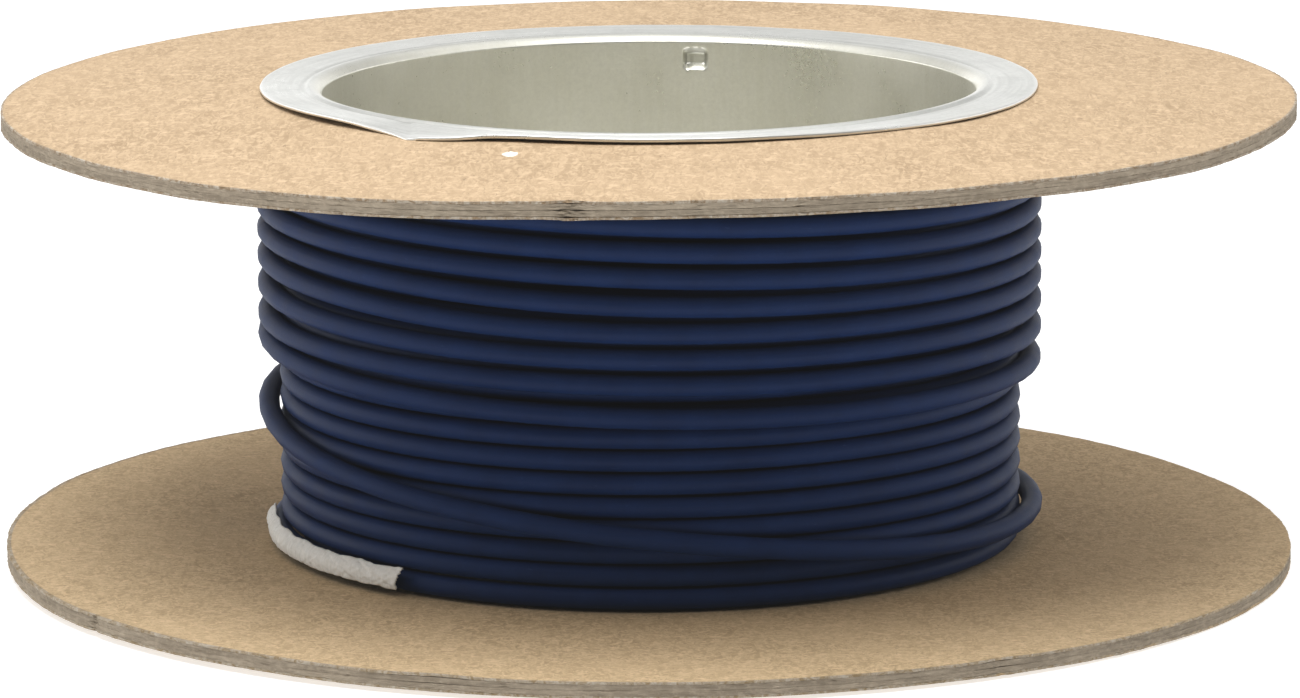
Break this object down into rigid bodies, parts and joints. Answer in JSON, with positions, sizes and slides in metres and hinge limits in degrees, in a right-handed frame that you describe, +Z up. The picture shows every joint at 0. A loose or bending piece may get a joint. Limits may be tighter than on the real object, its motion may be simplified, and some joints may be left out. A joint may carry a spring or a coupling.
{
  "type": "wire spool",
  "caption": "Board-flanged spool on a flared sheet-metal barrel, wound with insulated hook-up wire whose end is held by a strip of tape.",
  "frame": {"origin": "centre of the lower lip's rest plane, on the barrel's axis", "axes": "+Z up along the barrel's axis; +X to the right and -Y towards the viewer of the side on which the loose turn crosses the winding"},
  "size_m": [0.127, 0.127, 0.048],
  "materials": {
    "barrel_metal": "matte tinned sheet",
    "kraft_liner": "uncoated kraft paper",
    "chipboard": "raw cut edge",
    "wire_insulation": "satin extruded",
    "masking_tape": "crepe"
  },
  "bodies": {
    "root": {"barrel": "barrel_metal", "upper_outer_liner": "kraft_liner", "upper_outer_ply": "chipboard", "upper_inner_ply": "chipboard", "upper_inner_liner": "kraft_liner", "lower_outer_liner": "kraft_liner", "lower_outer_ply": "chipboard", "lower_inner_ply": "chipboard", "lower_inner_liner": "kraft_liner", "wire_layer_1": "wire_insulation", "wire_layer_2": "wire_insulation", "wire_layer_3": "wire_insulation", "wire_crossing": "wire_insulation", "end_tape": "masking_tape", "start_tape": "masking_tape"}
  },
  "joints": []
}
